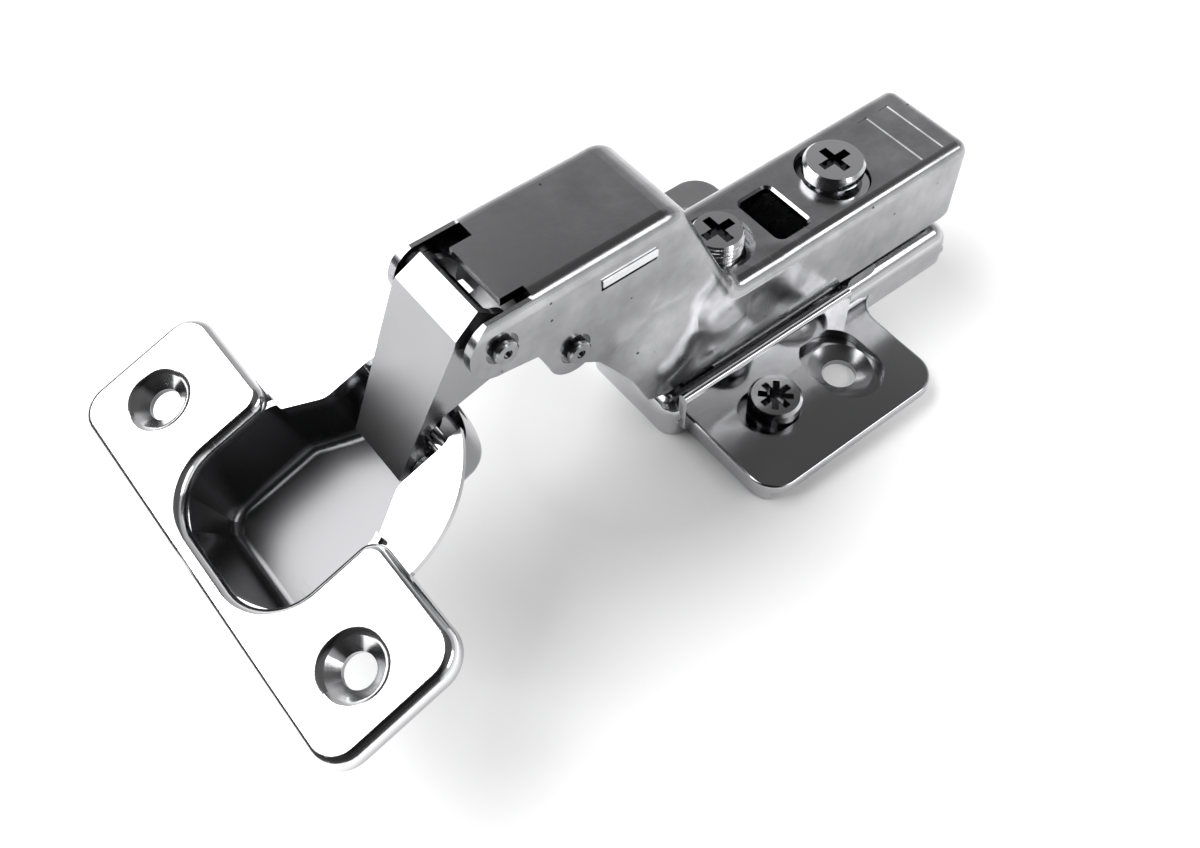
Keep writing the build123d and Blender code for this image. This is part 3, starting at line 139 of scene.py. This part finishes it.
# ---------------------------------------------------------------- height screw
# An eccentric upset from wire, with a star recess, then turned and nickel plated.
# Turning leaves it smoother than the sheet, so it mirrors sharper.
def screw_finish(name, x_mm, y_mm, top_mm, recess_mm):
    """Turned nickel, with painted shade in its pressed recess, which is coloured dark."""
    lip_mm = 0.06   # the painted shade in the recess starts just under the head's flat top
    material, place = begin(name)
    axis = (x_mm / PER_METRE, y_mm / PER_METRE, 0)
    offset = add(material, "VectorMath", {"operation": "SUBTRACT", 1: axis}, {0: place})
    parts = add(material, "SeparateXYZ", {}, {0: offset.outputs["Vector"]})
    flat = add(material, "CombineXYZ", {},
               {"X": parts.outputs["X"], "Y": parts.outputs["Y"]})
    radius = add(material, "VectorMath", {"operation": "LENGTH"},
                 {0: flat.outputs["Vector"]})
    near = add(material, "Math", {"operation": "LESS_THAN", 1: recess_mm / PER_METRE},
               {0: radius.outputs["Value"]})
    low = add(material, "Math", {"operation": "LESS_THAN", 1: (top_mm - lip_mm) / PER_METRE},
              {0: parts.outputs["Z"]})
    # painted shade: inside the recess the colour turns dark
    recess_shade = add(material, "Math", {"operation": "MULTIPLY"},
                  {0: near.outputs[0], 1: low.outputs[0]})
    tint = add(material, "MixRGB", {"Color1": linear("CECED0"), "Color2": linear("4A4A4C")},
               {"Fac": recess_shade.outputs[0]})
    shader = add(material, "BsdfPrincipled", {"Metallic": 1.0, "Roughness": 0.13},
                 {"Base Color": tint.outputs["Color"]})
    add(material, "OutputMaterial", {}, {"Surface": shader.outputs["BSDF"]})
    return material


dress("height_cam", screw_finish("nickel_on_height_screw",
                                 x_mm=14.5, y_mm=15.5, top_mm=5.8, recess_mm=2.7))

# ---------------------------------------------------------------- clip adapter and lever
# Folded from 1.2 mm sheet, inside the arm; the release lever turns on a pin against a spring.
# Sheltered and unpolished, they are dull, and only their feet and edges catch the light.
# The springs are hardened and blued: nearly black, with a soft sheen.
inner_sheet = plated("nickel_on_folded_sheet", "98989A", "7E7E80",
                     rough=0.28, patch_mm=3.0, grain_mm=0.30, grain=0.3)
for name in ("clip_adapter", "release_lever", "lever_pin"):
    dress(name, inner_sheet)
blued_spring = plated("blued_spring_steel", "505052", "3C3C3E",
                      rough=0.32, patch_mm=2.0, grain_mm=0.25, grain=0.4)
for name in ("lever_spring", "closing_spring"):
    dress(name, blued_spring)


# ---------------------------------------------------------------- arm
# The arm is drawn deep from one 1.2 mm blank, so its nickel lies on stretched steel.
# The roof is cloudy with pin pricks, the crank swells where the sheet was drawn round,
# and the punch has dragged score lines down it.
def hairlines(material, place, lay, fine_mm, long_mm, share):
    """Sparse straight scratches: a noise drawn out one way and cut off near its top."""
    soft_edge = 0.06
    fine, coarse = PER_METRE / fine_mm, PER_METRE / long_mm
    drawn_out = add(material, "Mapping", {"Rotation": lay, "Scale": (fine, coarse, coarse)},
                    {"Vector": place})
    streak = add(material, "TexNoise", {"Scale": 1.0, "Detail": 1.0},
                 {"Vector": drawn_out.outputs["Vector"]})
    return add(material, "MapRange", {"From Min": share, "From Max": share + soft_edge},
               {"Value": streak.outputs["Fac"]}).outputs["Result"]


def pits(material, place, spacing_mm, dot_mm):
    """Pin pricks where the plating bridged a pore, drawn larger than they are, to show."""
    cells = add(material, "TexVoronoi",
                {"Scale": PER_METRE / spacing_mm, "Randomness": 1.0}, {"Vector": place})
    near = dot_mm / spacing_mm
    return add(material, "MapRange", {"From Min": near, "From Max": near / 2},
               {"Value": cells.outputs["Distance"]}).outputs["Result"]


arm_finish, place = begin("nickel_on_drawn_arm")
cloud = add(arm_finish, "TexNoise",
            {"Scale": PER_METRE / 6.25, "Detail": 4.0, "Roughness": 0.6}, {"Vector": place})
drift = add(arm_finish, "MapRange", {"From Min": 0.3, "From Max": 0.7},
            {"Value": cloud.outputs["Fac"]})
tint = add(arm_finish, "MixRGB", {"Color1": linear("969698"), "Color2": linear("B6B6B8")},
           {"Fac": drift.outputs["Result"]})
sheen = add(arm_finish, "MapRange", {"To Min": 0.25, "To Max": 0.15},
            {"Value": drift.outputs["Result"]})

# the crank: swells 12 mm apart and score lines, both fading out within 16 mm of its middle
crank_middle, crank_edge, crank_core = (0.016, 0.009, 0.022), 0.016, 0.006
swells_per_metre, swell_height, score_depth = 85.0, 0.0006, 0.00003
reach = add(arm_finish, "VectorMath", {"operation": "DISTANCE", 1: crank_middle}, {0: place})
crank = add(arm_finish, "MapRange", {"From Min": crank_edge, "From Max": crank_core},
            {"Value": reach.outputs["Value"]})
waves = add(arm_finish, "TexNoise",
            {"Scale": swells_per_metre, "Detail": 1.0, "Distortion": 1.0}, {"Vector": place})
swell = add(arm_finish, "Math", {"operation": "MULTIPLY"},
            {0: waves.outputs["Fac"], 1: crank.outputs["Result"]})
drawn = add(arm_finish, "Bump", {"Strength": 1.0, "Distance": swell_height},
            {"Height": swell.outputs[0]})
lines = hairlines(arm_finish, place, lay=(0.0, 0.35, 0.0),
                  fine_mm=0.6, long_mm=14.0, share=0.66)
score = add(arm_finish, "Math", {"operation": "MULTIPLY"},
            {0: lines, 1: crank.outputs["Result"]})
scored = add(arm_finish, "Bump", {"Strength": 0.5, "Distance": score_depth},
             {"Height": score.outputs[0], "Normal": drawn.outputs["Normal"]})

# the grain of the sheet, 0.29 mm, which is coarser than it is, and the pin pricks
grains_per_metre = 3500.0
grain = add(arm_finish, "TexNoise", {"Scale": grains_per_metre, "Detail": 2.0},
            {"Vector": place})
relief = add(arm_finish, "Bump", {"Strength": 0.2, "Distance": GRAIN_DEPTH},
             {"Height": grain.outputs["Fac"], "Normal": scored.outputs["Normal"]})
pricked = add(arm_finish, "MixRGB", {"Color2": linear("303032")},
              {"Fac": pits(arm_finish, place, spacing_mm=4.0, dot_mm=0.25),
               "Color1": tint.outputs["Color"]})

# the channel's inner faces look sideways or down and lie within the sheet; they are coloured
# dark, as painted shade
inner_half_width = 0.00715
spot = add(arm_finish, "SeparateXYZ", {}, {"Vector": place})
outward = add(arm_finish, "TexCoord", {}, {}).outputs["Normal"]
normal = add(arm_finish, "SeparateXYZ", {}, {"Vector": outward})
off_middle = add(arm_finish, "Math", {"operation": "ABSOLUTE"}, {0: spot.outputs["Y"]})
within = add(arm_finish, "Math", {"operation": "LESS_THAN", 1: inner_half_width},
             {0: off_middle.outputs[0]})
sideways = add(arm_finish, "Math", {"operation": "ABSOLUTE"}, {0: normal.outputs["Y"]})
down = add(arm_finish, "Math", {"operation": "MULTIPLY", 1: -1.0}, {0: normal.outputs["Z"]})
turned_in = add(arm_finish, "Math", {"operation": "MAXIMUM"},
                {0: sideways.outputs[0], 1: down.outputs[0]})
inner = add(arm_finish, "MapRange", {"From Min": 0.4, "From Max": 0.6},
            {"Value": turned_in.outputs[0]})
painted_inner_shade = add(arm_finish, "Math", {"operation": "MULTIPLY"},
             {0: within.outputs[0], 1: inner.outputs["Result"]})
whole = add(arm_finish, "MixRGB", {"Color2": linear("4E4E50")},
            {"Fac": painted_inner_shade.outputs[0], "Color1": pricked.outputs["Color"]})
shader = add(arm_finish, "BsdfPrincipled", {"Metallic": 1.0},
             {"Base Color": whole.outputs["Color"], "Roughness": sheen.outputs["Result"],
              "Normal": relief.outputs["Normal"]})
add(arm_finish, "OutputMaterial", {}, {"Surface": shader.outputs["BSDF"]})
dress("arm", arm_finish)

# ---------------------------------------------------------------- depth screw and side screw
# The depth screw is an upset head on an eccentric; the side screw is a headless grub screw.
# Its thread is rolled to a pitch of 0.7 mm, which leaves bright rings along the flanks;
# its foot and neck stay plain, and a cross is pressed into its top.
SCREW_TOP_MM = 25.2
dress("depth_cam", screw_finish("nickel_on_depth_screw",
                                x_mm=-9.9, y_mm=0.0, top_mm=SCREW_TOP_MM, recess_mm=2.75))

CREST, ROOT, PITCH, TOP_CHAMFER = 0.00365, 0.00330, 0.0007, 0.0003
FOOT_RADIUS, FOOT_HEIGHT, NECK_RADIUS, NECK_TOP = 0.0028, 0.001, 0.0018, 0.0145
CROSS_SPAN, CROSS_WIDTH, CROSS_DEPTH = 0.005, 0.0013, 0.0016
FACETS, THREAD_ROWS = 64, 96
low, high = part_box("side_screw")
axis_x = (low[0] + high[0]) / 2
foot_top = low[2] + FOOT_HEIGHT
plain_rows = [(FOOT_RADIUS, low[2]), (FOOT_RADIUS, foot_top),
              (NECK_RADIUS, foot_top), (NECK_RADIUS, NECK_TOP)]
thread_rows = [(None, NECK_TOP + (high[2] - NECK_TOP) * i / THREAD_ROWS)
               for i in range(THREAD_ROWS + 1)]
bm = bmesh.new()
rings = []
for plain_radius, z in plain_rows + thread_rows:
    ring = []
    for j in range(FACETS):
        angle = 2 * math.pi * j / FACETS
        r = plain_radius
        if r is None:
            phase = (z / PITCH - j / FACETS) % 1.0
            r = ROOT + (CREST - ROOT) * (1 - abs(2 * phase - 1))
            r = min(r, CREST - TOP_CHAMFER + (high[2] - z))
        ring.append(bm.verts.new((axis_x + r * math.cos(angle), r * math.sin(angle), z)))
    rings.append(ring)
for below, above in zip(rings, rings[1:]):
    for j in range(FACETS):
        k = (j + 1) % FACETS
        bm.faces.new((below[j], below[k], above[k], above[j]))
bm.faces.new(list(reversed(rings[0])))
bm.faces.new(rings[-1])
thread_mesh = bpy.data.meshes.new("side_screw_thread")
bm.to_mesh(thread_mesh)
bm.free()
side_screw = bpy.data.objects.new("side_screw_thread", thread_mesh)
bpy.context.scene.collection.objects.link(side_screw)

for long_side, wide_side in ((CROSS_SPAN, CROSS_WIDTH), (CROSS_WIDTH, CROSS_SPAN)):
    bm = bmesh.new()
    bar = Matrix.Diagonal((long_side, wide_side, 2 * CROSS_DEPTH, 1))
    bmesh.ops.create_cube(bm, size=1.0, matrix=Matrix.Translation((axis_x, 0, high[2])) @ bar)
    cutter_mesh = bpy.data.meshes.new("recess_cutter")
    bm.to_mesh(cutter_mesh)
    bm.free()
    cutter = bpy.data.objects.new("recess_cutter", cutter_mesh)
    bpy.context.scene.collection.objects.link(cutter)
    cut = side_screw.modifiers.new("recess", "BOOLEAN")
    cut.operation, cut.object, cut.solver = "DIFFERENCE", cutter, "EXACT"
    bpy.context.view_layer.update()
    result = side_screw.evaluated_get(bpy.context.evaluated_depsgraph_get())
    pressed_mesh = bpy.data.meshes.new_from_object(result)
    side_screw.modifiers.clear()
    side_screw.data = pressed_mesh
    bpy.data.objects.remove(cutter)
side_screw.data.materials.clear()
side_screw.data.materials.append(
    screw_finish("nickel_on_side_screw", x_mm=axis_x * PER_METRE, y_mm=0.0,
                 top_mm=SCREW_TOP_MM, recess_mm=2.6))
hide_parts("side_screw")
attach(side_screw, "side_adjuster")

# ---------------------------------------------------------------- rivets and spring seat
# Cross rivets cut from wire, their ends dimpled by the punch, with washers and sleeves: a
# shade duller than the arm. The seat that the closing spring bears on is rubbed bright.
headed = plated("nickel_on_headed_wire", "A6A6A8", "8E8E90",
                rough=0.16, patch_mm=1.5, grain_mm=0.20, grain=0.1)
for name in ("front_rivet", "rear_rivet", "front_washers", "rear_sleeves"):
    dress(name, headed)
dress("spring_seat", plated("rubbed_nickel_on_seat", "F0F0F2", "E4E4E6",
                            rough=0.10, patch_mm=3.0, grain_mm=0.25, grain=0.1))

# ---------------------------------------------------------------- links
# Both links are folded from 1 mm sheet. The outer one has a wide, flat, bright face with an
# even, soft shine; the inner one works inside it and is as dull as the adapter.
dress("outer_link", plated("nickel_on_link", "B4B4B6", "AEAEB0",
                           rough=0.27, patch_mm=25.0, grain_mm=0.25, grain=0.3))
dress("inner_link", inner_sheet)

# ---------------------------------------------------------------- cup and its pins
# Drawn in several strokes from 0.8 mm sheet, then nickel plated: the flange is a bright
# mirror with fine pores and hairlines. The deep tub is satin inside, and its colour is
# painted greyer outside and darker inside, as painted shade. Turned pins hold the links in it.
cup_finish, place = begin("bright_nickel_on_cup")
flange_normal = (0.3173, 0.0, 0.9483)
ahead = (0.9483, 0.0, -0.3173)
wing_back, past_wing, rim_drop = 0.0600, 0.0599, 0.0026    # the tub's rim is lower there
mouth, all_tub = 0.0474, 0.0462    # along the normal, where the tub starts and is in full
tub_middle = (0.0733, 0.0, 0.0200)


def across(direction):
    """How far along a direction a point of the cup lies."""
    axis = add(cup_finish, "CombineXYZ", dict(zip("XYZ", direction)), {}).outputs[0]
    return add(cup_finish, "VectorMath", {"operation": "DOT_PRODUCT"},
               {0: place, 1: axis}).outputs["Value"]


behind_wings = add(cup_finish, "MapRange",
                   {"From Min": wing_back, "From Max": past_wing, "To Max": rim_drop},
                   {"Value": across(ahead)})
level = add(cup_finish, "Math", {"operation": "ADD"},
            {0: across(flange_normal), 1: behind_wings.outputs["Result"]})
deep = add(cup_finish, "MapRange", {"From Min": mouth, "From Max": all_tub},
           {"Value": level.outputs[0]})

# the tub's inner faces are those that look towards its middle
inward = add(cup_finish, "VectorMath", {"operation": "SUBTRACT", 0: tub_middle}, {1: place})
outward = add(cup_finish, "TexCoord", {}, {}).outputs["Normal"]
faces = add(cup_finish, "VectorMath", {"operation": "DOT_PRODUCT"},
            {0: inward.outputs["Vector"], 1: outward})
facing = add(cup_finish, "MapRange", {"From Min": -0.0003, "From Max": 0.0003},
             {"Value": faces.outputs["Value"]})
inner_shade_and_satin = add(cup_finish, "Math", {"operation": "MULTIPLY"},
             {0: deep.outputs["Result"], 1: facing.outputs["Result"]})

# colours in patches 4.5 mm wide on the flange, then painted shade: grey on the tub, and dark
# inside it
patches_per_metre = 220.0
cloud = add(cup_finish, "TexNoise", {"Scale": patches_per_metre, "Detail": 3.0},
            {"Vector": place})
flange_tint = add(cup_finish, "MixRGB",
                  {"Color1": linear("DCDCDE"), "Color2": linear("ECECEE")},
                  {"Fac": cloud.outputs["Fac"]})
tint_with_tub_shade = add(cup_finish, "MixRGB", {"Color2": linear("B0B0B2")},
               {"Fac": deep.outputs["Result"], "Color1": flange_tint.outputs["Color"]})
# painted shade: the tub's inner faces are coloured dark, and they are also made rougher
tint = add(cup_finish, "MixRGB", {"Color2": linear("747476")},
           {"Fac": inner_shade_and_satin.outputs[0], "Color1": tint_with_tub_shade.outputs["Color"]})
sheen = add(cup_finish, "MapRange", {"To Min": 0.13, "To Max": 0.30},
            {"Value": inner_shade_and_satin.outputs[0]})

# pores 0.2 mm wide and hairlines 0.35 mm wide, both coarser than they are, to show
pores = add(cup_finish, "TexNoise", {"Scale": PER_METRE / 0.2, "Detail": 2.0},
            {"Vector": place})
fine = add(cup_finish, "Bump", {"Strength": 0.12, "Distance": GRAIN_DEPTH},
           {"Height": pores.outputs["Fac"]})
scratches = hairlines(cup_finish, place, lay=(0.0, 0.3, 0.9),
                      fine_mm=0.35, long_mm=16.0, share=0.72)
relief = add(cup_finish, "Bump", {"Strength": 0.4, "Distance": GRAIN_DEPTH},
             {"Height": scratches, "Normal": fine.outputs["Normal"]})
pricked = add(cup_finish, "MixRGB", {"Color2": linear("28282A")},
              {"Fac": pits(cup_finish, place, spacing_mm=6.0, dot_mm=0.32),
               "Color1": tint.outputs["Color"]})
shader = add(cup_finish, "BsdfPrincipled", {"Metallic": 1.0},
             {"Base Color": pricked.outputs["Color"], "Roughness": sheen.outputs["Result"],
              "Normal": relief.outputs["Normal"]})
add(cup_finish, "OutputMaterial", {}, {"Surface": shader.outputs["BSDF"]})
dress("cup", cup_finish)

turned = plated("nickel_on_turned_pin", "D2D2D4", "B6B6B8",
                rough=0.11, patch_mm=1.5, grain_mm=0.20, grain=0.1)
for name in ("outer_cup_pin", "inner_cup_pin", "cup_sleeves"):
    dress(name, turned)

# ---------------------------------------------------------------- floor
# A sheet of white studio card that runs on past the view. It glows a little to the eye and
# in reflections, but the glow is left out under the hinge, a painted shadow that stays soft
# and close, and the glow grows far off, where the card meets the white room.
bm = bmesh.new()
bmesh.ops.create_grid(bm, x_segments=1, y_segments=1, size=4.0)
floor_mesh = bpy.data.meshes.new("floor")
bm.to_mesh(floor_mesh)
bm.free()
floor = bpy.data.objects.new("floor", floor_mesh)
bpy.context.scene.collection.objects.link(floor)

card, place = begin("white_card")
hinge_middle = (0.028, 0.004, 0.0)
paper = add(card, "BsdfDiffuse", {"Color": linear("F4F4F4")}, {})
path = add(card, "LightPath", {}, {})
seen = add(card, "Math", {"operation": "MAXIMUM"},
           {0: path.outputs["Is Camera Ray"], 1: path.outputs["Is Glossy Ray"]})
through = add(card, "Math", {"operation": "MAXIMUM"},
              {0: seen.outputs[0], 1: path.outputs["Is Transmission Ray"]})
away = add(card, "VectorMath", {"operation": "DISTANCE", 1: hinge_middle}, {0: place})
# painted shadow: the card's glow is nothing within 18 mm of the hinge's middle and full by 45
# mm
glow_with_painted_shadow = add(card, "MapRange",
                {"From Min": 0.018, "From Max": 0.045, "To Min": 0.0, "To Max": 0.36},
                {"Value": away.outputs["Value"]})
far_glow = add(card, "MapRange",
               {"From Min": 0.5, "From Max": 1.6, "To Min": 0.0, "To Max": 0.8},
               {"Value": away.outputs["Value"]})
both_glows = add(card, "Math", {"operation": "ADD"},
                 {0: glow_with_painted_shadow.outputs["Result"], 1: far_glow.outputs["Result"]})
amount = add(card, "Math", {"operation": "MULTIPLY"},
             {0: through.outputs[0], 1: both_glows.outputs[0]})
glow = add(card, "Emission", {"Color": linear("FFFFFF")}, {"Strength": amount.outputs[0]})
lit_card = add(card, "AddShader", {}, {0: paper.outputs[0], 1: glow.outputs[0]})
add(card, "OutputMaterial", {}, {"Surface": lit_card.outputs[0]})
floor_mesh.materials.append(card)


# ---------------------------------------------------------------- light
# A broad soft box stands beyond the hinge's far side, where the flange mirrors it, and a
# strip light behind its near side, which draws the highlight down the crank.
def soft_box(name, azimuth, elevation, distance, width, height, power):
    """A rectangular area lamp aimed at the hinge."""
    lamp = bpy.data.lights.new(name, "AREA")
    lamp.shape = "RECTANGLE"
    lamp.size = width
    lamp.size_y = height
    lamp.energy = power
    holder = bpy.data.objects.new(name, lamp)
    target = Vector((0.035, 0, 0.02))
    a, e = math.radians(azimuth), math.radians(elevation)
    outwards = Vector((math.cos(a) * math.cos(e), math.sin(a) * math.cos(e), math.sin(e)))
    facing_hinge = outwards.to_track_quat("Z", "Y").to_matrix().to_4x4()
    holder.matrix_world = Matrix.Translation(target + outwards * distance) @ facing_hinge
    bpy.context.scene.collection.objects.link(holder)


soft_box("soft_box_far", azimuth=-55, elevation=48, distance=2.0,
         width=2.2, height=1.8, power=56.0)
soft_box("strip_light_near", azimuth=124, elevation=42, distance=2.0,
         width=1.3, height=0.6, power=9.0)

# ---------------------------------------------------------------- room
# The room fades from a white horizon to a dark ceiling, and is dark beyond the cup, so the
# plated faces mirror both and the flange's rims get dark lines. Behind the hinge the eye
# sees plain white.
room = bpy.data.worlds.new("room")
bpy.context.scene.world = room
room.use_nodes = True
room.node_tree.nodes.clear()
way = add(room, "TexCoord", {}, {})
axes = add(room, "SeparateXYZ", {}, {"Vector": way.outputs["Generated"]})
fade = add(room, "ValToRGB", {}, {"Fac": axes.outputs["Z"]})
ramp = fade.color_ramp
shades = ((0.0, 1.0), (0.26, 1.0), (0.42, 0.5), (0.64, 0.47),
          (0.72, 0.29), (0.77, 0.10), (1.0, 0.10))    # height above the horizon, brightness
ramp.elements[0].position, ramp.elements[1].position = shades[0][0], shades[-1][0]
for height, shade in shades[1:-1]:
    ramp.elements.new(height)
for element, (height, shade) in zip(ramp.elements, shades):
    element.color = (shade, shade, shade, 1)
beyond_cup = add(room, "MapRange",
                 {"From Min": 0.0, "From Max": 0.25, "To Min": 1.0, "To Max": 0.06},
                 {"Value": axes.outputs["X"]})
path = add(room, "LightPath", {}, {})
walls = add(room, "MixRGB", {"Color2": linear("FFFFFF")},
            {"Fac": path.outputs["Is Camera Ray"], "Color1": fade.outputs["Color"]})
strength = add(room, "Math", {"operation": "MAXIMUM"},
               {0: beyond_cup.outputs["Result"], 1: path.outputs["Is Camera Ray"]})
air = add(room, "Background", {},
          {"Color": walls.outputs["Color"], "Strength": strength.outputs[0]})
add(room, "OutputWorld", {}, {"Surface": air.outputs["Background"]})

bpy.context.scene.view_settings.view_transform = "Standard"
